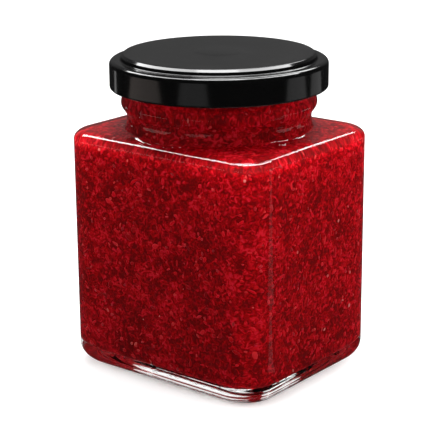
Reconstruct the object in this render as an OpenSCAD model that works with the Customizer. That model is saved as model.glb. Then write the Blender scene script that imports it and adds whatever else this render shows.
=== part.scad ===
// Rectangular glass jam jar, filled with jam and closed with a twist-off tinplate lid.
// The axis of the neck is Z, the wide faces look along Y and the jar stands on Z = 0.

/* [Glass body] */
// Width of the body, across the two narrow faces
body_width = 73.4; // [68:0.2:100]
// Depth of the body, across the two wide faces
body_depth = 63.2; // [62:0.2:90]
// Height of the rounded shoulder edge above the table
body_height = 74.4; // [50:0.2:120]
// Radius of the four upright corners
corner_radius = 10; // [7:0.5:16]
// Radius where the walls turn under the base
heel_radius = 6; // [2:0.5:6.5]
// Radius where the walls turn over into the shoulder
shoulder_radius = 2.8; // [2:0.1:3]
// How far the shoulder climbs from its edge to the foot of the neck
shoulder_rise = 0.4; // [0.2:0.1:2]
// Thickness of the walls and the shoulder
wall = 2.6; // [1.6:0.1:3.5]
// Thickness of the glass under the jam
base_thickness = 5.2; // [3:0.1:9]
// Depth of the dish in the underside
dish_depth = 0.9; // [0.3:0.1:1.5]
// Width of the flat rim that the jar stands on
standing_rim = 2.5; // [1.5:0.5:5]
// Width of the slope from the standing rim down into the dish
dish_slope = 4; // [2:0.5:8]

/* [Neck and finish] */
// Outer radius of the neck
neck_radius = 28; // [20:0.1:28]
// Height of the neck from its foot to the lip of the mouth
neck_height = 20; // [18:0.1:30]
// How far the foot of the neck flares out
flare_width = 1; // [0.5:0.1:1.5]
// Height of the flare at the foot of the neck
flare_height = 2.4; // [1:0.1:3.5]
// How far the transfer bead stands out from the neck
bead_reach = 1.7; // [0.8:0.1:2]
// Height of the transfer bead
bead_height = 6.2; // [4:0.1:6.5]
// How far the threaded finish stands out from the neck
finish_reach = 2.2; // [1.5:0.1:2.6]
// Radius that rounds the lip of the mouth
lip_radius = 1.5; // [0.8:0.1:1.8]
// Number of thread ridges round the finish
thread_count = 4; // [3:1:6]
// How far a thread ridge stands out from the finish
thread_reach = 1.1; // [0.6:0.1:1.3]
// Angle that each thread ridge covers, in degrees
thread_angle = 56; // [30:1:58]

/* [Lid] */
// Height of the lid from its hem to the top of its panel
lid_height = 10.4; // [9:0.1:14]
// Room between the thread ridges and the inside of the skirt
lid_room = 1.4; // [0.6:0.1:2]
// Thickness of the tinplate
sheet = 0.3; // [0.2:0.05:0.5]
// Width of the channel between the skirt and the raised panel
channel_width = 3.6; // [3:0.1:5]
// Width of the slope between the channel and the raised panel
panel_slope = 1.9; // [1:0.1:3]
// How far the panel stands above the channel
panel_rise = 1.8; // [0.8:0.1:2.5]
// Radius that rounds the top of the skirt
skirt_round = 1.7; // [1:0.1:2]
// Radius of the curled hem
hem_radius = 0.7; // [0.6:0.05:0.9]
// Radius of the safety button in the middle of the panel
button_radius = 8; // [5:0.5:12]
// How far the safety button stands up
button_rise = 0.3; // [0.1:0.05:0.6]
// Thickness of the sealing ring pressed on the lip
seal_thickness = 0.8; // [0.4:0.1:1.2]
// Angle that each lug covers, in degrees
lug_angle = 18; // [10:1:24]
// Height of a lug
lug_height = 1.2; // [0.8:0.1:1.6]

/* [Jam] */
// Height of the air between the jam and the lip of the mouth
headspace = 5; // [4.5:0.1:9]

/* [Clearances] */
// Gap between the jam and the glass
jam_gap = 0.05; // [0.02:0.01:0.1]
// Gap between the sealing ring and the lip
seal_gap = 0.05; // [0.02:0.01:0.1]
// Room between the finish and the tips of the lugs
lug_gap = 0.3; // [0.2:0.05:0.5]
// Room between the top of a lug and the thread ridge above it
thread_gap = 0.6; // [0.3:0.1:1]

/* [Hidden] */

glass_colour = [0.80, 0.88, 0.87, 0.45];
jam_colour = "#8c0a16";
lid_colour = "#151515";

arc_steps = 5; // facets in a quarter turn of a profile
corner_steps = 8; // facets in each upright corner
slice = 0.01; // thickness of the slices that a hull is stretched over
join = 1; // how far a revolved piece reaches into the body
round_fn = 96; // facets in a full turn

// The inside is rounder than the outside where glass gathers
inner_corner = max(corner_radius - wall + 1, 2);
inner_heel = heel_radius + 1;
inner_shoulder = max(shoulder_radius - wall / 2, 1);

neck_foot = body_height + shoulder_rise;
lip_z = neck_foot + neck_height;
neck_bore = neck_radius - wall;
finish_radius = neck_radius + finish_reach;
bead_radius = neck_radius + bead_reach;
foot_radius = neck_radius + flare_width;
shoulder_top = foot_radius + 0.2; // the shoulder's flat ring round the foot of the neck
ceiling_hole = neck_bore - 1; // smaller than the bore, which cuts through it

// The lid hangs from the lip
seal_z = lip_z + seal_gap;
channel_under = seal_z + seal_thickness;
lid_top = channel_under + sheet + panel_rise;
lid_base = lid_top - lid_height;
thread_radius = finish_radius + thread_reach;
lid_radius = thread_radius + lid_room + sheet;
channel_z = lid_top - panel_rise;
channel_radius = lid_radius - channel_width;
panel_radius = channel_radius - panel_slope;
lug_radius = finish_radius + lug_gap;
lug_z = lid_base + 0.2; // clear of the hem's lowest point
thread_z = lug_z + lug_height + thread_gap;
thread_height = 1.4;
thread_root = 0.5; // how far a ridge is rooted in the finish

// How the sheet is bent: the hem's curl, the folds beside the channel and the button's slope
hem_height = 2.6 * hem_radius;
hem_end = 100; // angle at which the curled edge ends, in degrees
fold_radius = 0.8;
fold_angle = 40;
button_slope = 1.5;

// The transfer bead stops just under the lid and a groove parts it from the finish
bead_top = lid_base - 0.7;
bead_edge = 0.6; // height of the slope from the bead in to the groove
groove_radius = bead_radius - 1.4;
groove_top = lid_base + 1;
finish_foot = groove_top + 0.6;

// Points of a circular arc from one angle to another
function arc(x, z, r, from, to) =
    [for (i = [0 : arc_steps]) let (a = from + (to - from) * i / arc_steps)
        [x + r * cos(a), z + r * sin(a)]];

// Points of a bulge that leaves a wall at from_z, reaches out and comes back at to_z
function bulge(wall_r, reach, from_z, to_z) =
    [for (i = [0 : 2 * arc_steps]) let (a = 180 * i / (2 * arc_steps))
        [wall_r + reach * sin(a), from_z + (to_z - from_z) * (1 - cos(a)) / 2]];

// Points of the hollow flare that leads from the shoulder up into the neck
function flare() =
    [for (i = [0 : arc_steps]) let (a = 90 * i / arc_steps)
        [foot_radius - flare_width * sin(a), neck_foot + flare_height * (1 - cos(a))]];

// Outline of the body with rounded corners, drawn in by inset on every side
module body_outline(inset, corner) {
    reach_x = body_width / 2 - inset - corner;
    reach_y = body_depth / 2 - inset - corner;
    polygon([
        for (quarter = [0 : 3], i = [0 : corner_steps])
            let (a = 90 * (quarter + i / corner_steps),
                 side_x = (quarter == 0 || quarter == 3) ? 1 : -1,
                 side_y = quarter < 2 ? 1 : -1)
            [side_x * reach_x + corner * cos(a), side_y * reach_y + corner * sin(a)]
    ]);
}

// The body's form, a wall thickness or none inside its outer face
module body_form(inset, floor_z, corner, heel, shoulder, top_radius) {
    top_z = body_height - inset;
    hull() {
        translate([0, 0, floor_z + heel])
            linear_extrude(top_z - shoulder - floor_z - heel)
                body_outline(inset, corner);
        for (i = [0 : arc_steps - 1]) {
            a = 90 * i / arc_steps;
            heel_in = heel * (1 - sin(a));
            shoulder_in = shoulder * (1 - sin(a));
            translate([0, 0, floor_z + heel * (1 - cos(a))])
                linear_extrude(slice)
                    body_outline(inset + heel_in, max(corner - heel_in, 1));
            translate([0, 0, top_z - shoulder * (1 - cos(a)) - slice])
                linear_extrude(slice)
                    body_outline(inset + shoulder_in, max(corner - shoulder_in, 1));
        }
        translate([0, 0, neck_foot - inset - slice])
            cylinder(h = slice, r = top_radius, $fn = 64);
    }
}

// The hollow dish that keeps the middle of the base off the table
module base_dish() {
    rim = heel_radius + standing_rim;
    hull() {
        translate([0, 0, -join])
            linear_extrude(join)
                body_outline(rim, corner_radius);
        translate([0, 0, dish_depth - slice])
            linear_extrude(slice)
                body_outline(rim + dish_slope, corner_radius);
    }
}

// Outer face of the neck: flared foot, neck, transfer bead, groove, finish and lip
module neck_outside() {
    rotate_extrude($fn = round_fn)
        polygon(concat(
            [[0, neck_foot - join], [foot_radius, neck_foot - join]],
            flare(),
            bulge(neck_radius, bead_reach, bead_top - bead_height, bead_top - bead_edge),
            [[groove_radius, bead_top], [groove_radius, groove_top],
             [finish_radius, finish_foot]],
            arc(finish_radius - lip_radius, lip_z - lip_radius, lip_radius, 0, 90),
            [[0, lip_z]]
        ));
}

// The way in: the neck's bore and the wider mouth, both narrower by gap all round
module mouth(gap, top_z) {
    mouth_bore = finish_radius - 2 * lip_radius - gap;
    widen_z = bead_top - bead_height / 2;
    rotate_extrude($fn = round_fn)
        polygon([
            [0, neck_foot - wall - join],
            [neck_bore - gap, neck_foot - wall - join],
            [neck_bore - gap, widen_z],
            [mouth_bore, groove_top],
            [mouth_bore, top_z],
            [0, top_z]
        ]);
}

// One thread ridge of the finish
module thread_ridge() {
    rotate_extrude(angle = thread_angle, $fn = round_fn)
        polygon(concat(
            [[finish_radius - thread_root, thread_z]],
            bulge(finish_radius, thread_reach, thread_z, thread_z + thread_height),
            [[finish_radius - thread_root, thread_z + thread_height]]
        ));
}

module jar() {
    color(glass_colour)
        difference() {
            union() {
                body_form(0, 0, corner_radius, heel_radius, shoulder_radius, shoulder_top);
                neck_outside();
                for (i = [0 : thread_count - 1])
                    rotate([0, 0, i * 360 / thread_count])
                        thread_ridge();
            }
            body_form(wall, base_thickness, inner_corner, inner_heel, inner_shoulder, ceiling_hole);
            mouth(0, lip_z + join);
            base_dish();
        }
}

module jam() {
    color(jam_colour)
        union() {
            body_form(wall + jam_gap, base_thickness + jam_gap, inner_corner, inner_heel,
                      inner_shoulder, ceiling_hole);
            mouth(jam_gap, lip_z - headspace);
        }
}

// Half section of the lid's sheet, o inside its outer face
function lid_outline(o) = concat(
    [[0, lid_top + button_rise - o], [button_radius - button_slope, lid_top + button_rise - o]],
    [[button_radius, lid_top - o]],
    arc(panel_radius, lid_top - fold_radius, fold_radius - o, 90, 90 - fold_angle),
    arc(channel_radius, channel_z + fold_radius, fold_radius + o, 270 - fold_angle, 270),
    arc(lid_radius - skirt_round, channel_z - skirt_round, skirt_round - o, 90, 0)
);

function reversed(list) = [for (i = [len(list) - 1 : -1 : 0]) list[i]];

module lid_shell() {
    rotate_extrude($fn = round_fn)
        polygon(concat(
            lid_outline(0),
            arc(lid_radius - hem_radius, lid_base + hem_radius, hem_radius, 0, -180),
            arc(lid_radius - hem_radius, lid_base + hem_radius, hem_radius, 180, hem_end),
            [[lid_radius - sheet, lid_base + hem_height]],
            reversed(lid_outline(sheet))
        ));
}

// The ring of sealing compound in the channel
module seal() {
    outer = lid_radius - sheet - skirt_round / 2;
    inner = channel_radius - sheet;
    translate([0, 0, seal_z])
        difference() {
            cylinder(h = seal_thickness + sheet / 2, r = outer, $fn = round_fn);
            translate([0, 0, -join])
                cylinder(h = seal_thickness + sheet + 2 * join, r = inner, $fn = round_fn);
        }
}

// One lug, pressed in from the hem to catch under a thread ridge
module lug() {
    rotate_extrude(angle = lug_angle, $fn = round_fn)
        polygon([
            [lug_radius, lug_z + lug_height / 3],
            [lid_radius - hem_radius, lug_z],
            [lid_radius - hem_radius, lug_z + lug_height],
            [lug_radius, lug_z + lug_height]
        ]);
}

module lid() {
    color(lid_colour)
        union() {
            lid_shell();
            seal();
            for (i = [0 : thread_count - 1])
                rotate([0, 0, i * 360 / thread_count + thread_angle / 2])
                    lug();
        }
}

jar();
jam();
lid();
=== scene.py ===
import math

import bmesh
import bpy
import numpy as np
from mathutils import Matrix, Quaternion, Vector


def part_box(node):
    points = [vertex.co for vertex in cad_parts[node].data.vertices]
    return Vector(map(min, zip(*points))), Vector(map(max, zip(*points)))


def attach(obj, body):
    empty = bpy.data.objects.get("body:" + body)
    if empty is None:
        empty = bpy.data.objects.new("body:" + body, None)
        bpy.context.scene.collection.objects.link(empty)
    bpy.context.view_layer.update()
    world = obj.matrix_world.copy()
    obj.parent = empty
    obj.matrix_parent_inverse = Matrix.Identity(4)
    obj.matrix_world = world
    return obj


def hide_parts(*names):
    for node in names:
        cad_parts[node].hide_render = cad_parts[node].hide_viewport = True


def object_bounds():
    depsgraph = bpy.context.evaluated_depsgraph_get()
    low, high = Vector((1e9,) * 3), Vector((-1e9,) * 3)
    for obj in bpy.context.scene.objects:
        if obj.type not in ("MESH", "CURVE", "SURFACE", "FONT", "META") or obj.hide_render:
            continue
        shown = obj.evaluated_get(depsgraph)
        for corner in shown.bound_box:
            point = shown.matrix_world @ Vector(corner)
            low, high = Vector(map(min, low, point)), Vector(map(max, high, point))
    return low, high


mm = 0.001
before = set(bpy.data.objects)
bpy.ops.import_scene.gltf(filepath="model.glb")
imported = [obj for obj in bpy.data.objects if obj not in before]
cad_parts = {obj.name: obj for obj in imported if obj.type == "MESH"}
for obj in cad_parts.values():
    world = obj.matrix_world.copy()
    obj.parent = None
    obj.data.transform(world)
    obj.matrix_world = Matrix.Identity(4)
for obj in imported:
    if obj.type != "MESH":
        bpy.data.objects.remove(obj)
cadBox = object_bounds()
jarLow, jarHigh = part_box("jar")
jamLow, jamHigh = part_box("jam")
lidLow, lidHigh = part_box("lid")
jamGap = 0.05  # room that the CAD leaves under the jam, in mm
nearness = {"level": 0.002, "row": 0.01, "weld": 0.004, "reach": 0.1}  # what counts as the same place, in mm
print("frame loaded")


def linearColour(text):  # sRGB hex to linear
    parts = [int(text[i:i + 2], 16) / 255 for i in (1, 3, 5)]
    return [p / 12.92 if p < 0.04045 else ((p + 0.055) / 1.055) ** 2.4 for p in parts] + [1.0]


def pick(kind, test):  # selects in edit mode what passes the test, by its corners' places in mm
    bpy.ops.mesh.select_mode(type=kind)
    bpy.ops.mesh.select_all(action="DESELECT")
    mesh = bmesh.from_edit_mesh(bpy.context.edit_object.data)
    items = {"VERT": mesh.verts, "EDGE": mesh.edges, "FACE": mesh.faces}[kind]
    for item in items:
        corners = [item.co / mm] if kind == "VERT" else [v.co / mm for v in item.verts]
        if test(corners):
            item.select_set(True)
    mesh.select_flush_mode()
    bmesh.update_edit_mesh(bpy.context.edit_object.data)


def level(height):  # a test for what lies at one height
    return lambda corners: all(abs(c.z - height) < nearness["level"] for c in corners)


def drawRings(start, rings):  # extrudes the selected loop through half widths, half depths and heights
    for ring in rings:
        bpy.ops.mesh.extrude_edges_move(
            TRANSFORM_OT_translate={"value": (0, 0, (ring[2] - start[2]) * mm)})
        bpy.ops.transform.resize(
            value=(ring[0] / start[0], ring[1] / start[1], 1), center_override=(0, 0, 0))
        start = ring


def tidyShell(piece, angle):  # closes seams, turns the faces outwards and smooths all but the sharp edges
    bpy.ops.mesh.select_all(action="SELECT")
    bpy.ops.mesh.remove_doubles(threshold=nearness["weld"] * mm)
    bpy.ops.mesh.normals_make_consistent(inside=False)
    bpy.ops.object.mode_set(mode="OBJECT")
    bpy.ops.object.shade_smooth_by_angle(angle=math.radians(angle))
    # flat walls keep their own direction beside rounded edges
    lead = piece.modifiers.new("flatFacesLead", "WEIGHTED_NORMAL")
    lead.keep_sharp = True
    bpy.ops.object.modifier_apply(modifier=lead.name)


# the body, a rectangle with rounded corners, outside and inside
body = {
    "width": (jarHigh.x - jarLow.x) / mm, "depth": (jarHigh.y - jarLow.y) / mm,
    "wall": 2.6, "floor": jamLow.z / mm - jamGap,
    "corner": 10.0, "heel": 6.0, "innerHeel": 3.0, "edge": 2.8, "top": 74.4, "foot": 75.3,
    "cornerSteps": 8, "flatSteps": 16, "roundSteps": 8, "shoulderCuts": 6, "innerCuts": 4,
    "standing": 2.5, "standingZ": 0.001, "dishSlope": 4.0, "dish": 0.9,
    "dishLine": ((0.5, 0.4), (1, 0.85), (3, 1)),  # shares of the dish's slope and depth
    "gather": 1.0,  # glass that gathers in the inner corners
    "crown": ((4, 0.15), (12, 0.5)),  # how the inside floor rises towards the middle
    "climb": (0.35, 0.65, 5),  # the shoulder's even share, late share and power
    "longEdge": 20, "sharp": 50,
}
turnSteps = 4 * (body["cornerSteps"] + body["flatSteps"])


def upright(corners):
    return abs(corners[0].z - corners[1].z) > body["longEdge"]


def squareTube(name, inset, corner, low, high, uprightCuts=0):  # an open tube with rounded corners
    width, depth = body["width"] - 2 * inset, body["depth"] - 2 * inset
    bpy.ops.object.select_all(action="DESELECT")
    bpy.ops.mesh.primitive_cube_add(
        size=1, location=(0, 0, (low + high) / 2 * mm), scale=(width * mm, depth * mm, (high - low) * mm))
    tube = bpy.context.object
    tube.name = name
    bpy.ops.object.transform_apply(location=True, rotation=True, scale=True)
    bpy.ops.object.mode_set(mode="EDIT")
    pick("EDGE", upright)
    bpy.ops.mesh.bevel(offset=corner * mm, segments=body["cornerSteps"], affect="EDGES")
    pick("FACE", lambda c: level(low)(c) or level(high)(c))
    bpy.ops.mesh.delete(type="ONLY_FACE")
    pick("EDGE", lambda c: abs(c[0].z - c[1].z) < nearness["row"]
         and (c[0] - c[1]).length > body["longEdge"])
    bpy.ops.mesh.subdivide(number_cuts=body["flatSteps"] - 1)
    if uprightCuts:
        pick("EDGE", upright)
        bpy.ops.mesh.subdivide(number_cuts=uprightCuts)
    return tube


def quarterTurn(inset, radius, edgeZ, side):  # rings of a rounded edge, side is 1 above and -1 below
    rings = []
    for i in range(1, body["roundSteps"] + 1):
        turn = math.radians(90 * i / body["roundSteps"])
        drawn = inset + radius * (1 - math.cos(turn))
        rings.append((body["width"] / 2 - drawn, body["depth"] / 2 - drawn,
                      edgeZ - side * radius * (1 - math.sin(turn))))
    return rings


def closeIn(inset, height):  # one ring of the body, drawn in by inset
    return (body["width"] / 2 - inset, body["depth"] / 2 - inset, height)


def bridgeToCircle(squareZ, radius, circleZ, cuts, lift):  # shoulder rings, each moved by its own lift
    bpy.ops.mesh.primitive_circle_add(vertices=turnSteps, radius=radius * mm, location=(0, 0, circleZ * mm))
    pick("EDGE", lambda c: level(squareZ)(c) or level(circleZ)(c))
    bpy.ops.mesh.bridge_edge_loops(type="SINGLE", number_cuts=cuts, interpolation="LINEAR")
    for i in range(1, cuts + 1):
        t = i / (cuts + 1)
        straight = squareZ + (circleZ - squareZ) * t
        pick("VERT", level(straight))
        bpy.ops.transform.translate(value=(0, 0, (squareZ + (circleZ - squareZ) * lift(t) - straight) * mm))
    pick("EDGE", level(circleZ))


def climb(t):  # the shoulder is nearly flat and turns up beside the neck
    early, late, power = body["climb"]
    return early * t + late * t ** power


# the neck and the glass
neck = {
    "radius": 28.0, "bore": 25.4, "bead": 29.7, "groove": 28.3, "finish": 30.2, "mouth": 27.2,
    "lip": jarHigh.z / mm, "hem": lidLow.z / mm, "footRadius": 28.75, "innerFoot": 26.2, "innerFootZ": 72.9,
    "ridgeReach": 1.1, "ridgeAngle": 56, "ridgeCount": 4,
    "ridgeRows": ((2.5, 0.7), (2.8, 1.0), (3.1, 0.7)),  # heights above the hem and shares of the reach
}


def boreRings(grow):  # the inside of the neck from the mouth's widening down to the shoulder
    hem = neck["hem"]
    profile = [(neck["mouth"], hem + 1.2), (26.7, hem - 0.4), (26.0, hem - 2.0), (25.55, hem - 3.4),
               (neck["bore"], hem - 4.6), (neck["bore"], 76.5), (neck["bore"] + 0.15, 74.2),
               (neck["innerFoot"], neck["innerFootZ"])]
    return [(r + grow, r + grow, z) for r, z in profile]


def insideForm(name, grow, uprightCuts=0):  # the hollow up to its shoulder, grown into the glass
    inset, heel, edge = body["wall"] - grow, body["innerHeel"], body["edge"]
    floorZ, topZ = body["floor"], body["top"] - body["wall"] + grow
    corner = body["corner"] - body["wall"] + body["gather"]
    form = squareTube(name, inset, corner, floorZ + heel, topZ - edge, uprightCuts)
    pick("EDGE", level(floorZ + heel))
    drawRings(closeIn(inset, floorZ + heel), quarterTurn(inset, heel, floorZ, -1)
              + [closeIn(inset + heel + run, floorZ + up) for run, up in body["crown"]])
    bpy.ops.mesh.edge_face_add()
    pick("EDGE", level(topZ - edge))
    drawRings(closeIn(inset, topZ - edge), quarterTurn(inset, edge, topZ, 1))
    return form


hollow = insideForm("jarInside", 0)
bpy.ops.object.mode_set(mode="OBJECT")
jarGlass = squareTube("jarGlass", 0, body["corner"], body["heel"], body["top"] - body["edge"])
pick("EDGE", level(body["heel"]))
drawRings(closeIn(0, body["heel"]), quarterTurn(0, body["heel"], 0, -1)
          + [closeIn(body["heel"] + body["standing"], body["standingZ"])]
          + [closeIn(body["heel"] + body["standing"] + run * body["dishSlope"], body["dish"] * up)
             for run, up in body["dishLine"]])
bpy.ops.mesh.edge_face_add()
pick("EDGE", level(body["top"] - body["edge"]))
drawRings(closeIn(0, body["top"] - body["edge"]), quarterTurn(0, body["edge"], body["top"], 1))
bridgeToCircle(body["top"], neck["footRadius"], body["foot"], body["shoulderCuts"], climb)

hem, lip = neck["hem"], neck["lip"]
outsideProfile = [  # flared foot, neck, bead, groove, finish and lip
    (28.55, 75.75), (28.32, 76.3), (28.12, 77.0), (neck["radius"], 77.8), (neck["radius"], 78.9),
    (28.04, 79.5),
    (28.25, 80.1), (28.7, 80.75), (29.15, 81.4), (29.5, 82.0), (29.68, 82.6), (neck["bead"], 83.1),
    (29.62, 83.7), (29.4, 84.4), (29.1, 85.1), (28.8, 85.8), (28.5, 86.4), (neck["groove"], hem - 0.4),
    (neck["groove"], hem + 0.9), (29.3, hem + 1.3), (30.0, hem + 1.6), (neck["finish"], hem + 2.1),
    *((neck["finish"], hem + up) for up, share in neck["ridgeRows"]),
    (neck["finish"], lip - 1.5), (30.0, lip - 0.75), (29.45, lip - 0.2), (28.7, lip), (27.95, lip - 0.2),
    (27.4, lip - 0.75), (neck["mouth"], lip - 1.5)]
rings = [(r, r, z) for r, z in outsideProfile] + boreRings(0)
drawRings((neck["footRadius"],) * 2 + (body["foot"],), rings)
for up, share in neck["ridgeRows"]:  # thread ridges
    def onRidge(corners):
        turn = math.degrees(math.atan2(corners[0].y, corners[0].x)) % (360 / neck["ridgeCount"])
        return abs(corners[0].z - (hem + up)) < nearness["row"] and turn < neck["ridgeAngle"]
    pick("VERT", onRidge)
    grown = 1 + share * neck["ridgeReach"] / neck["finish"]
    bpy.ops.transform.resize(value=(grown, grown, 1), center_override=(0, 0, 0))
bpy.ops.object.mode_set(mode="OBJECT")
bpy.ops.object.select_all(action="DESELECT")
hollow.select_set(True)
jarGlass.select_set(True)
bpy.context.view_layer.objects.active = jarGlass
bpy.ops.object.join()
bpy.ops.object.mode_set(mode="EDIT")


def onInnerShoulder(corners):  # the two open loops, the hollow's top and the bottom of the bore
    if level(body["top"] - body["wall"])(corners):
        return True
    farthest = max(c.xy.length for c in corners)
    return level(neck["innerFootZ"])(corners) and farthest < neck["innerFoot"] + nearness["reach"]


pick("EDGE", onInnerShoulder)
bpy.ops.mesh.bridge_edge_loops(type="SINGLE", number_cuts=body["innerCuts"], interpolation="LINEAR")
tidyShell(jarGlass, body["sharp"])
print("jar modelled,", len(jarGlass.data.polygons), "faces")


# the jam, which reaches just into the glass
jam = {
    "reach": 0.2, "level": jamHigh.z / mm, "uprightCuts": 26, "shoulderCuts": 7, "finer": 2, "sharp": 180,
    "round": 0.3, "flatIn": 3, "flatDown": 0.1, "middle": 10.0, "middleDown": 0.4,  # the top of the jam
    "lumpSize": 1.6 * mm, "lumpRelief": 0.14 * mm, "grainSize": 0.55 * mm, "grainRelief": 0.05 * mm,
    "reliefMiddle": 0.6,
}
jamFill = insideForm("jamFill", jam["reach"], jam["uprightCuts"])
shoulderZ = body["top"] - body["wall"] + jam["reach"]
footRadius = neck["innerFoot"] + jam["reach"]
bridgeToCircle(shoulderZ, footRadius, neck["innerFootZ"], jam["shoulderCuts"], lambda t: t)
roundZ = jam["level"] - jam["round"]
upRings = [r for r in reversed(boreRings(jam["reach"])) if r[2] < roundZ][1:]
upRings += [(neck["mouth"] + jam["reach"] - jam["round"],) * 2 + (roundZ,)]
upRings += [(neck["mouth"] - jam["flatIn"],) * 2 + (jam["level"] - jam["flatDown"],),
            (jam["middle"],) * 2 + (jam["level"] - jam["middleDown"],)]
drawRings((footRadius,) * 2 + (neck["innerFootZ"],), upRings)
bpy.ops.mesh.edge_face_add()
tidyShell(jamFill, jam["sharp"])
finer = jamFill.modifiers.new("finer", "SUBSURF")
finer.subdivision_type = "SIMPLE"
finer.levels = finer.render_levels = jam["finer"]
bpy.ops.object.modifier_apply(modifier="finer")
for name, kind, size, relief in (("lumps", "CLOUDS", jam["lumpSize"], jam["lumpRelief"]),
                                 ("grains", "STUCCI", jam["grainSize"], jam["grainRelief"])):
    texture = bpy.data.textures.new(name, kind)
    texture.noise_scale = size
    bump = jamFill.modifiers.new(name, "DISPLACE")
    bump.texture, bump.strength, bump.texture_coords = texture, relief, "LOCAL"
    bump.mid_level = jam["reliefMiddle"]
    bpy.ops.object.modifier_apply(modifier=name)
print("jam modelled,", len(jamFill.data.polygons), "faces")


def surfaceSpots(piece, count, seed):  # seeded points and normals spread evenly over a piece
    mesh = piece.data
    mesh.calc_loop_triangles()
    places = np.zeros(len(mesh.vertices) * 3)
    mesh.vertices.foreach_get("co", places)
    corners = np.zeros(len(mesh.loop_triangles) * 3, int)
    mesh.loop_triangles.foreach_get("vertices", corners)
    triangles = places.reshape(-1, 3)[corners.reshape(-1, 3)]
    normals = np.cross(triangles[:, 1] - triangles[:, 0], triangles[:, 2] - triangles[:, 0])
    areas = np.linalg.norm(normals, axis=1)
    dice = np.random.default_rng(seed)
    chosen = dice.choice(len(areas), count, p=areas / areas.sum())
    a, b = dice.random((2, count, 1))
    flip = a + b > 1
    a, b = np.where(flip, 1 - a, a), np.where(flip, 1 - b, b)
    corner = triangles[chosen]
    points = corner[:, 0] + a * (corner[:, 1] - corner[:, 0]) + b * (corner[:, 2] - corner[:, 0])
    return points, normals[chosen] / areas[chosen][:, None], dice


def scatter(name, shape, piece, values):  # one mesh of many copies of a shape, pressed on a piece
    spots, normals, dice = surfaceSpots(piece, values["count"], values["seed"])
    form = np.array([v.co for v in shape.data.vertices])
    faces = np.array([list(p.vertices) for p in shape.data.polygons])
    aside = np.cross(normals, dice.normal(size=normals.shape))
    aside /= np.linalg.norm(aside, axis=1)[:, None]
    across = np.cross(normals, aside)
    sizes = values["size"] * np.exp(dice.normal(0, values["spread"], (len(spots), 3)))
    sizes = np.minimum(sizes, np.array(values["size"]) * values["longest"]) * mm
    depth = -sizes[:, 2] + dice.uniform(*values["out"], len(spots)) * mm
    turned = (form[None, :, 0, None] * (aside * sizes[:, :1])[:, None]
              + form[None, :, 1, None] * (across * sizes[:, 1:2])[:, None]
              + form[None, :, 2, None] * (normals * sizes[:, 2:])[:, None])
    places = turned + (spots + normals * depth[:, None])[:, None]
    mesh = bpy.data.meshes.new(name)
    steps = (np.arange(len(spots)) * len(form))[:, None, None]
    mesh.from_pydata(places.reshape(-1, 3), [], (faces[None] + steps).reshape(-1, faces.shape[1]))
    tint = mesh.attributes.new("tint", "FLOAT", "POINT")  # one value for each copy
    tint.data.foreach_set("value", np.repeat(dice.random(len(spots)), len(form)).astype(np.float32))
    made = bpy.data.objects.new(name, mesh)
    bpy.context.scene.collection.objects.link(made)
    bpy.data.objects.remove(shape)
    bpy.ops.object.select_all(action="DESELECT")
    made.select_set(True)
    bpy.context.view_layer.objects.active = made
    bpy.ops.object.shade_smooth()
    return made


def squashedBall(values):  # a ball of one metre radius, squashed at one end, and rough where asked
    bpy.ops.object.select_all(action="DESELECT")
    bpy.ops.mesh.primitive_ico_sphere_add(subdivisions=values["ballSteps"], radius=1)
    ball = bpy.context.object
    bpy.ops.object.mode_set(mode="EDIT")
    if values["rough"]:
        bpy.ops.transform.vertex_random(offset=values["rough"], seed=values["roughSeed"])
    pick("VERT", lambda c: c[0].x > values["end"])
    bpy.ops.transform.resize(value=values["squash"], center_override=(0, 0, 0))
    bpy.ops.object.mode_set(mode="OBJECT")
    return ball


pulp = {
    "count": 2400, "seed": 11, "size": (0.9, 0.5, 0.4), "spread": 0.4, "longest": 1.9, "out": (0.02, 0.3),
    "ballSteps": 2, "rough": 0.16, "roughSeed": 4, "end": 450, "squash": (1.15, 0.8, 0.85),
}
jamPulp = scatter("jamPulp", squashedBall(pulp), jamFill, pulp)

pips = {
    "count": 1500, "seed": 12, "size": (0.8, 0.45, 0.35), "spread": 0.12, "longest": 1.9, "out": (-0.1, 0.22),
    "ballSteps": 2, "rough": 0, "end": 300, "squash": (1.1, 0.7, 0.7),
}
jamPips = scatter("jamPips", squashedBall(pips), jamFill, pips)
print("fruit scattered,", len(jamPulp.data.polygons), "and", len(jamPips.data.polygons), "faces")


# the lid, one pressed sheet
lid = {
    "radius": lidHigh.x / mm, "base": lidLow.z / mm,
    "sheet": 0.3, "panel": 28.9, "rise": 1.8, "round": 1.5, "hem": 0.7, "tuck": 2.6, "curlTurn": 260,
    "fold": 0.5, "slope": 45, "steep": 68,  # two angles between the panel and the channel
    "midFold": 0.4, "midOut": 0.14, "midDown": 1.0, "footOut": 1.23,
    "button": 8.0, "buttonRise": 0.3, "buttonFlat": 2, "buttonEdge": 1, "buttonShare": 0.6,
    "flatRings": (16, 22),
    "foldSteps": 5, "midSteps": 3, "footSteps": 6, "roundSteps": 10, "curlSteps": 14,
    "steps": 144, "sharp": 40,
}
lid["top"] = lidHigh.z / mm - lid["buttonRise"]


def arcPoints(x, z, radius, start, end, steps):
    turns = [math.radians(start + (end - start) * i / steps) for i in range(steps + 1)]
    return [(x + radius * math.cos(t), z + radius * math.sin(t)) for t in turns]


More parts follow.
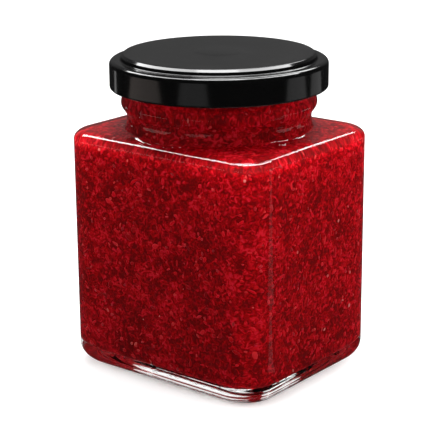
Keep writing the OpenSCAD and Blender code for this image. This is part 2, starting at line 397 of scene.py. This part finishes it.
def lidLine(o):  # half section of the sheet, o inside its outer face
    top, rim, fold = lid["top"], lid["top"] - lid["rise"], lid["fold"]
    slope, steep = 90 - lid["slope"], 90 - lid["steep"]
    return ([(0, top + lid["buttonRise"] - o),
             (lid["button"] - lid["buttonFlat"], top + lid["buttonRise"] - o),
             (lid["button"] - lid["buttonEdge"], top + lid["buttonRise"] * lid["buttonShare"] - o),
             (lid["button"], top - o), *((ring, top - o) for ring in lid["flatRings"])]
            + arcPoints(lid["panel"] - fold, top - fold, fold - o, 90, slope, lid["foldSteps"])
            + arcPoints(lid["panel"] + lid["midOut"], top - lid["midDown"], lid["midFold"] - o,
                        slope, steep, lid["midSteps"])
            + arcPoints(lid["panel"] + lid["footOut"], rim + fold, fold + o,
                        270 - lid["steep"], 270, lid["footSteps"])
            + arcPoints(lid["radius"] - lid["round"], rim - lid["round"], lid["round"] - o,
                        90, 0, lid["roundSteps"]))


curl = arcPoints(lid["radius"] - lid["hem"], lid["base"] + lid["hem"], lid["hem"],
                 0, -lid["curlTurn"], lid["curlSteps"])
section = lidLine(0) + curl + [(lid["radius"] - lid["sheet"], lid["base"] + lid["tuck"] * lid["hem"])]
section += list(reversed(lidLine(lid["sheet"])))
bpy.ops.object.select_all(action="DESELECT")
bpy.ops.mesh.primitive_plane_add(size=mm, location=(0, 0, section[0][1] * mm))
lidTinplate = bpy.context.object
lidTinplate.name = "lidTinplate"
bpy.ops.object.transform_apply(location=True, rotation=True, scale=True)
bpy.ops.object.mode_set(mode="EDIT")
bpy.ops.mesh.merge(type="CENTER")
for here, there in zip(section, section[1:]):
    bpy.ops.mesh.extrude_region_move(TRANSFORM_OT_translate={
        "value": ((there[0] - here[0]) * mm, 0, (there[1] - here[1]) * mm)})
bpy.ops.mesh.select_all(action="SELECT")
bpy.ops.mesh.spin(steps=lid["steps"], angle=2 * math.pi, center=(0, 0, 0), axis=(0, 0, 1))
tidyShell(lidTinplate, lid["sharp"])
print("lid modelled,", len(lidTinplate.data.polygons), "faces")


def addNode(material, kind, inputs=None, **settings):  # one node with its settings, values and links
    tree = material.node_tree
    node = tree.nodes.new(kind)
    for name, value in settings.items():
        setattr(node, name, value)
    for name, value in (inputs or {}).items():
        if isinstance(value, bpy.types.NodeSocket):
            tree.links.new(value, node.inputs[name])
        else:
            node.inputs[name].default_value = value
    return node


def startMaterial(name, piece):
    material = bpy.data.materials.new(name)
    material.use_nodes = True
    material.node_tree.nodes.clear()
    piece.data.materials.clear()
    piece.data.materials.append(material)
    return material


def setRamp(node, stops):  # stops are places and sRGB colours, darkest first
    ramp = node.color_ramp
    while len(ramp.elements) < len(stops):
        ramp.elements.new(0.5)
    for element, (place, colour) in zip(ramp.elements, stops):
        element.position, element.color = place, linearColour(colour)


# soda-lime glass, blown in a mould: clear, with a faint roll in its faces that bends reflections
glassLook = {
    "rollSize": 22 * mm, "rollStrength": 0.25, "rollHeight": 0.6 * mm,
    "colour": "#fbfdfc", "shadow": "#f6f8f7", "ior": 1.52,
}
glass = startMaterial("sodaLimeGlassBlown", jarGlass)
where = addNode(glass, "ShaderNodeTexCoord").outputs["Object"]
roll = addNode(glass, "ShaderNodeTexNoise", {
    "Vector": where, "Scale": 1 / glassLook["rollSize"], "Detail": 1.0})
waves = addNode(glass, "ShaderNodeBump", {
    "Height": roll.outputs["Fac"], "Strength": glassLook["rollStrength"],
    "Distance": glassLook["rollHeight"]})
clear = addNode(glass, "ShaderNodeBsdfPrincipled", {
    "Base Color": linearColour(glassLook["colour"]), "Roughness": 0.0, "IOR": glassLook["ior"],
    "Transmission Weight": 1.0,
    "Normal": waves.outputs["Normal"]})
path = addNode(glass, "ShaderNodeLightPath")
through = addNode(glass, "ShaderNodeBsdfTransparent", {"Color": linearColour(glassLook["shadow"])})
shade = addNode(glass, "ShaderNodeMixShader", {"Fac": path.outputs["Is Shadow Ray"]})
glass.node_tree.links.new(clear.outputs["BSDF"], shade.inputs[1])
glass.node_tree.links.new(through.outputs["BSDF"], shade.inputs[2])
addNode(glass, "ShaderNodeOutputMaterial", {"Surface": shade.outputs["Shader"]})


# what the jam and its fruit share: painted light and shade by height, and how light goes into them
fruitLook = {
    "height": 90 * mm,
    # painted light and shade: lighter just under the shoulder, darker towards the bottom and darker again at
    # the shoulder and neck under the lid
    "light": [(0.1, "#acacac"), (0.4, "#b6b6b6"), (0.62, "#bcbcbc"), (0.75, "#cecece"), (0.785, "#f2f2f2"),
              (0.8, "#d2d2d2"), (0.83, "#b0b0b0"), (1.0, "#c4c4c4")],
    "ior": 1.45, "inside": 0.5, "insideReach": (1.0, 0.08, 0.06),
}


def paintedLightByHeight(material, colour):  # painted light and shade: the colour is multiplied by a brightness set by height, lightest just under the shoulder
    place = addNode(material, "ShaderNodeTexCoord").outputs["Object"]
    height = addNode(material, "ShaderNodeSeparateXYZ", {"Vector": place}).outputs["Z"]
    share = addNode(material, "ShaderNodeMapRange", {
        "Value": height, "From Min": 0.0, "From Max": fruitLook["height"]})
    light = addNode(material, "ShaderNodeValToRGB", {"Fac": share.outputs["Result"]})
    setRamp(light, fruitLook["light"])
    return addNode(material, "ShaderNodeMix", {6: colour, 7: light.outputs["Color"], "Factor": 1.0},
                   data_type="RGBA", blend_type="MULTIPLY").outputs[2]


# berry jam, cooked and set: crushed drupelets, bright where they are thick and dark between them
jamLook = {
    "driftSize": 9 * mm, "driftShare": 0.45, "grainSize": 1.5 * mm, "grainTwist": 1.4,
    "cellSize": 2.2 * mm, "cellShare": -0.2,
    "tones": [(0.5, "#860208"), (0.64, "#b0030e"), (0.74, "#dc0818"), (0.84, "#ff2034")],
    "bumpStrength": 0.35, "bumpHeight": 0.3 * mm, "roughness": 0.5, "shine": 0.02, "insideSize": 1.0 * mm,
}
setJam = startMaterial("berryJamCooked", jamFill)
where = addNode(setJam, "ShaderNodeTexCoord").outputs["Object"]
drift = addNode(setJam, "ShaderNodeTexNoise", {
    "Vector": where, "Scale": 1 / jamLook["driftSize"], "Detail": 4.0})
grain = addNode(setJam, "ShaderNodeTexNoise", {
    "Vector": where, "Scale": 1 / jamLook["grainSize"], "Detail": 2.0, "Roughness": 0.55,
    "Distortion": jamLook["grainTwist"]})
cells = addNode(setJam, "ShaderNodeTexVoronoi", {
    "Vector": where, "Scale": 1 / jamLook["cellSize"], "Randomness": 1.0}, feature="SMOOTH_F1")
mixed = addNode(setJam, "ShaderNodeMath", {
    0: cells.outputs["Distance"], 1: jamLook["cellShare"], 2: grain.outputs["Fac"]}, operation="MULTIPLY_ADD")
moved = addNode(setJam, "ShaderNodeMath", {
    0: drift.outputs["Fac"], 1: jamLook["driftShare"], 2: mixed.outputs["Value"]}, operation="MULTIPLY_ADD")
tones = addNode(setJam, "ShaderNodeValToRGB", {"Fac": moved.outputs["Value"]})
setRamp(tones, jamLook["tones"])
relief = addNode(setJam, "ShaderNodeBump", {
    "Height": grain.outputs["Fac"], "Strength": jamLook["bumpStrength"], "Distance": jamLook["bumpHeight"]})
# the jam's colour carries painted light and shade by height
flesh = addNode(setJam, "ShaderNodeBsdfPrincipled", {
    "Base Color": paintedLightByHeight(setJam, tones.outputs["Color"]), "Roughness": jamLook["roughness"],
    "IOR": fruitLook["ior"], "Specular IOR Level": jamLook["shine"], "Subsurface Weight": fruitLook["inside"],
    "Subsurface Radius": fruitLook["insideReach"], "Subsurface Scale": jamLook["insideSize"],
    "Normal": relief.outputs["Normal"]})
addNode(setJam, "ShaderNodeOutputMaterial", {"Surface": flesh.outputs["BSDF"]})

# berry flesh, torn and cooked soft: brighter red pieces with light in them
pulpLook = {
    "tones": [(0.0, "#a4020c"), (0.35, "#dc0412"), (0.8, "#ff0c22"), (1.0, "#ff3038")],
    "roughness": 0.45, "shine": 0.05, "insideSize": 0.8 * mm,
}
torn = startMaterial("berryFleshCooked", jamPulp)
tint = addNode(torn, "ShaderNodeAttribute", attribute_name="tint").outputs["Fac"]
tones = addNode(torn, "ShaderNodeValToRGB", {"Fac": tint})
setRamp(tones, pulpLook["tones"])
# the pulp's colour carries painted light and shade by height
flesh = addNode(torn, "ShaderNodeBsdfPrincipled", {
    "Base Color": paintedLightByHeight(torn, tones.outputs["Color"]), "Roughness": pulpLook["roughness"],
    "IOR": fruitLook["ior"], "Specular IOR Level": pulpLook["shine"],
    "Subsurface Weight": fruitLook["inside"], "Subsurface Radius": fruitLook["insideReach"],
    "Subsurface Scale": pulpLook["insideSize"]})
addNode(torn, "ShaderNodeOutputMaterial", {"Surface": flesh.outputs["BSDF"]})

# berry pips, stained by the juice: small, hard and paler than the flesh
pipLook = {
    "tones": [(0.0, "#b00612"), (0.6, "#ee101e"), (0.9, "#ff302c"), (1.0, "#ff8a80")],
    "roughness": 0.35, "shine": 0.15, "ior": 1.5,
}
stone = startMaterial("berryPipStained", jamPips)
tint = addNode(stone, "ShaderNodeAttribute", attribute_name="tint").outputs["Fac"]
tones = addNode(stone, "ShaderNodeValToRGB", {"Fac": tint})
setRamp(tones, pipLook["tones"])
# the pips' colour carries painted light and shade by height
shell = addNode(stone, "ShaderNodeBsdfPrincipled", {
    "Base Color": paintedLightByHeight(stone, tones.outputs["Color"]), "Roughness": pipLook["roughness"],
    "IOR": pipLook["ior"], "Specular IOR Level": pipLook["shine"]})
addNode(stone, "ShaderNodeOutputMaterial", {"Surface": shell.outputs["BSDF"]})

# tinplate, pressed and black lacquered: satin on the flat panel and glossy on the rolled rim and skirt
lacquerLook = {
    "colour": "#040404", "ior": 1.5, "rim": 0.12, "satin": (0.2, 0.26), "satinSize": 9 * mm,
    "satinEnd": (28.0 * mm, 28.5 * mm),  # where the satin panel gives way to the glossy rim
}
lacquer = startMaterial("blackTinplateLacquered", lidTinplate)
where = addNode(lacquer, "ShaderNodeTexCoord").outputs["Object"]
parts = addNode(lacquer, "ShaderNodeSeparateXYZ", {"Vector": where})
flat = addNode(lacquer, "ShaderNodeCombineXYZ", {"X": parts.outputs["X"], "Y": parts.outputs["Y"]})
reach = addNode(lacquer, "ShaderNodeVectorMath", {0: flat.outputs["Vector"]}, operation="LENGTH")
onPanel = addNode(lacquer, "ShaderNodeMapRange", {
    "Value": reach.outputs["Value"], "From Min": lacquerLook["satinEnd"][0],
    "From Max": lacquerLook["satinEnd"][1], "To Min": 1.0, "To Max": 0.0})
dust = addNode(lacquer, "ShaderNodeTexNoise", {
    "Vector": where, "Scale": 1 / lacquerLook["satinSize"], "Detail": 6.0})
satin = addNode(lacquer, "ShaderNodeMapRange", {
    "Value": dust.outputs["Fac"], "From Min": 0.3, "From Max": 0.7,
    "To Min": lacquerLook["satin"][0], "To Max": lacquerLook["satin"][1]})
rough = addNode(lacquer, "ShaderNodeMix", {
    "Factor": onPanel.outputs["Result"], "A": lacquerLook["rim"], "B": satin.outputs["Result"]},
    data_type="FLOAT")
coatBlack = addNode(lacquer, "ShaderNodeBsdfPrincipled", {
    "Base Color": linearColour(lacquerLook["colour"]), "IOR": lacquerLook["ior"],
    "Roughness": rough.outputs["Result"]})
addNode(lacquer, "ShaderNodeOutputMaterial", {"Surface": coatBlack.outputs["BSDF"]})
print("materials made")


for piece, slot in ((jarGlass, "clear_glass"), (jamFill, "berry_jam"), (jamPulp, "berry_jam"),
                    (jamPips, "berry_jam"), (lidTinplate, "black_tinplate")):
    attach(piece, "root")
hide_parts("jar")
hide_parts("jam")
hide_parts("lid")


# floor, light and camera
stage = {
    "floor": 6.0, "acrylic": "#fafafa", "under": 0.1, "ambient": 1.0,
    "front": 0.02, "back": 0.12, "behind": (-0.5, 0.62, 0.6), "dimFrom": 0.7, "dimTo": 0.87, "aimZ": 0.06,
}
bpy.ops.object.select_all(action="DESELECT")
bpy.ops.mesh.primitive_plane_add(size=stage["floor"])
floor = bpy.context.object
floor.name = "floor"
floor.visible_glossy = False  # jar and lid mirror the dark room and the cards instead

# white acrylic sheet, sanded matt and faintly lit from beneath, which lightens the glass foot
acrylic = startMaterial("whiteAcrylicSanded", floor)
sheet = addNode(acrylic, "ShaderNodeBsdfPrincipled", {
    "Base Color": linearColour(stage["acrylic"]), "Roughness": 1.0, "Specular IOR Level": 0.0,
    "Emission Color": (1, 1, 1, 1), "Emission Strength": stage["under"]})
addNode(acrylic, "ShaderNodeOutputMaterial", {"Surface": sheet.outputs["BSDF"]})

# the room is white to all but plain mirror reflections, which see it dark and a little lighter behind
world = bpy.data.worlds.new("studio")
bpy.context.scene.world = world
world.use_nodes = True
world.node_tree.nodes.clear()
path = addNode(world, "ShaderNodeLightPath")
heading = addNode(world, "ShaderNodeTexCoord").outputs["Generated"]
behind = addNode(world, "ShaderNodeVectorMath", {0: heading, 1: stage["behind"]}, operation="DOT_PRODUCT")
room = addNode(world, "ShaderNodeMapRange", {
    "Value": behind.outputs["Value"], "From Min": stage["dimFrom"], "From Max": stage["dimTo"],
    "To Min": stage["front"], "To Max": stage["back"]})
mirrored = addNode(world, "ShaderNodeMath", {
    0: path.outputs["Is Glossy Ray"], 1: path.outputs["Is Transmission Ray"]},
    operation="SUBTRACT", use_clamp=True)
dim = addNode(world, "ShaderNodeMix", {
    "Factor": mirrored.outputs["Value"], "A": stage["ambient"], "B": room.outputs["Result"]},
    data_type="FLOAT")
sky = addNode(world, "ShaderNodeBackground", {"Color": (1, 1, 1, 1), "Strength": dim.outputs["Result"]})
addNode(world, "ShaderNodeOutputWorld", {"Surface": sky.outputs["Background"]})


def facing(towards, along):  # turns a light or card so that it faces the jar
    out = Vector(towards).normalized()
    across = Vector(along).cross(out).normalized()
    return Matrix((across, out.cross(across), out)).transposed().to_euler()


def softbox(name, towards, distance, size, radiance, along=(0, 0, 1)):  # a flat light that faces the jar
    place = Vector(towards).normalized() * distance + Vector((0, 0, stage["aimZ"]))
    bpy.ops.object.light_add(type="AREA", location=place, rotation=facing(towards, along))
    light = bpy.context.object
    light.name = name
    light.data.shape = "RECTANGLE"
    light.data.size, light.data.size_y = size
    light.data.energy = radiance * math.pi * size[0] * size[1]
    return light


softbox("backStrip", (-0.18, 0.65, 0.73), 0.6, (0.18, 0.42), 8.0, along=(0.56, 0.65, -0.14))
softbox("overhead", (0.02, -0.03, 1), 0.6, (0.3, 0.3), 8.0)
sideRight = softbox("sideRight", (0.95, 0.2, 0.25), 0.7, (0.4, 0.4), 2.4)
sideRight.visible_glossy = False  # it only lifts the shaded face


# a glowing card that shows only as a reflection
def mirrorCard(name, place, turned, size, glow, tint=(1, 1, 1, 1)):
    bpy.ops.object.select_all(action="DESELECT")
    bpy.ops.mesh.primitive_plane_add(size=1, location=place, rotation=turned)
    card = bpy.context.object
    card.name, card.scale = name, (*size, 1)
    card.visible_camera = card.visible_diffuse = card.visible_transmission = card.visible_shadow = False
    grey = startMaterial(name + "Grey", card)
    lit = addNode(grey, "ShaderNodeEmission", {"Color": tint, "Strength": glow})
    addNode(grey, "ShaderNodeOutputMaterial", {"Surface": lit.outputs["Emission"]})


view = {  # distance and aim are in heights of the jar
    "azimuth": 38.5, "elevation": 16.6, "distance": 4.81, "aim": 0.459, "lens": 124.6, "roll": -0.39,
    "sensor": 36, "nearest": 0.01,
}
height = cadBox[1].z
turn, rise = math.radians(view["azimuth"]), math.radians(view["elevation"])
back = Vector((math.sin(turn) * math.cos(rise), -math.cos(turn) * math.cos(rise), math.sin(rise)))
bpy.ops.object.camera_add(location=Vector((0, 0, view["aim"] * height)) + back * view["distance"] * height)
camera = bpy.context.object
aimed = (-back).to_track_quat("-Z", "Y") @ Quaternion((0, 0, 1), math.radians(view["roll"]))
camera.rotation_euler = aimed.to_euler()
camera.data.lens, camera.data.sensor_width = view["lens"], view["sensor"]
camera.data.clip_start = view["nearest"]
bpy.context.scene.camera = camera
bpy.context.scene.view_settings.view_transform = "Standard"

# cards that lie on the floor round the jar and show in the lid's skirt, by their turn from the camera
floorCards = {"distance": 0.5, "lift": 0.002, "length": 0.32}
for name, azimuth, wide, glow, tint in (
        ("cardEdgeLeft", -134, 0.04, 0.7, "#ffffff"), ("cardFarLeft", -82, 0.31, 0.6, "#fff0e8"),
        ("cardLeft", -26, 0.22, 0.36, "#ffffff"), ("cardRight", 85, 0.2, 0.5, "#ffffff"),
        ("cardFarRight", 118, 0.17, 0.4, "#ffffff")):
    turn = math.radians(view["azimuth"] + azimuth)
    away = floorCards["distance"]
    mirrorCard(name, (math.sin(turn) * away, -math.cos(turn) * away, floorCards["lift"]), (0, 0, turn),
               (wide, floorCards["length"]), glow, linearColour(tint))

# two cards fan out from the near corner, which shows them as a pale upright band
cornerCards = {"out": (0.81, 0.586, 0), "turn": -54, "glow": 0.18}
nearCorner = Vector((jarHigh.x, jarLow.y + body["corner"] * mm, floorCards["lift"]))
for name, away, size in (("cornerNear", 0.05, (0.012, 0.06)), ("cornerFar", 0.18, (0.04, 0.2))):
    mirrorCard(name, nearCorner + Vector(cornerCards["out"]) * away,
               (0, 0, math.radians(cornerCards["turn"])), size, cornerCards["glow"])

# an arch of cards overhead, where the slope around the lid's panel and the glass shoulders mirror it
arch = {"from": -52, "to": 42, "count": 12, "distance": 0.6, "size": (0.17, 0.12), "glow": 14.0}
lidTop = Vector((0, 0, lid["top"] * mm))
toCamera = (camera.location - lidTop).normalized()
for i in range(arch["count"]):
    along = (arch["to"] - arch["from"]) * i / (arch["count"] - 1)
    turn = math.radians(view["azimuth"] + arch["from"] + along)
    slope = math.radians(lid["slope"])
    normal = Vector((math.sin(turn) * math.sin(slope), -math.cos(turn) * math.sin(slope), math.cos(slope)))
    bounced = 2 * normal.dot(toCamera) * normal - toCamera
    mirrorCard(f"archCard{i}", lidTop + bounced * arch["distance"],
               facing(bounced, (math.cos(turn), math.sin(turn), 0)), arch["size"], arch["glow"])
print("stage set")
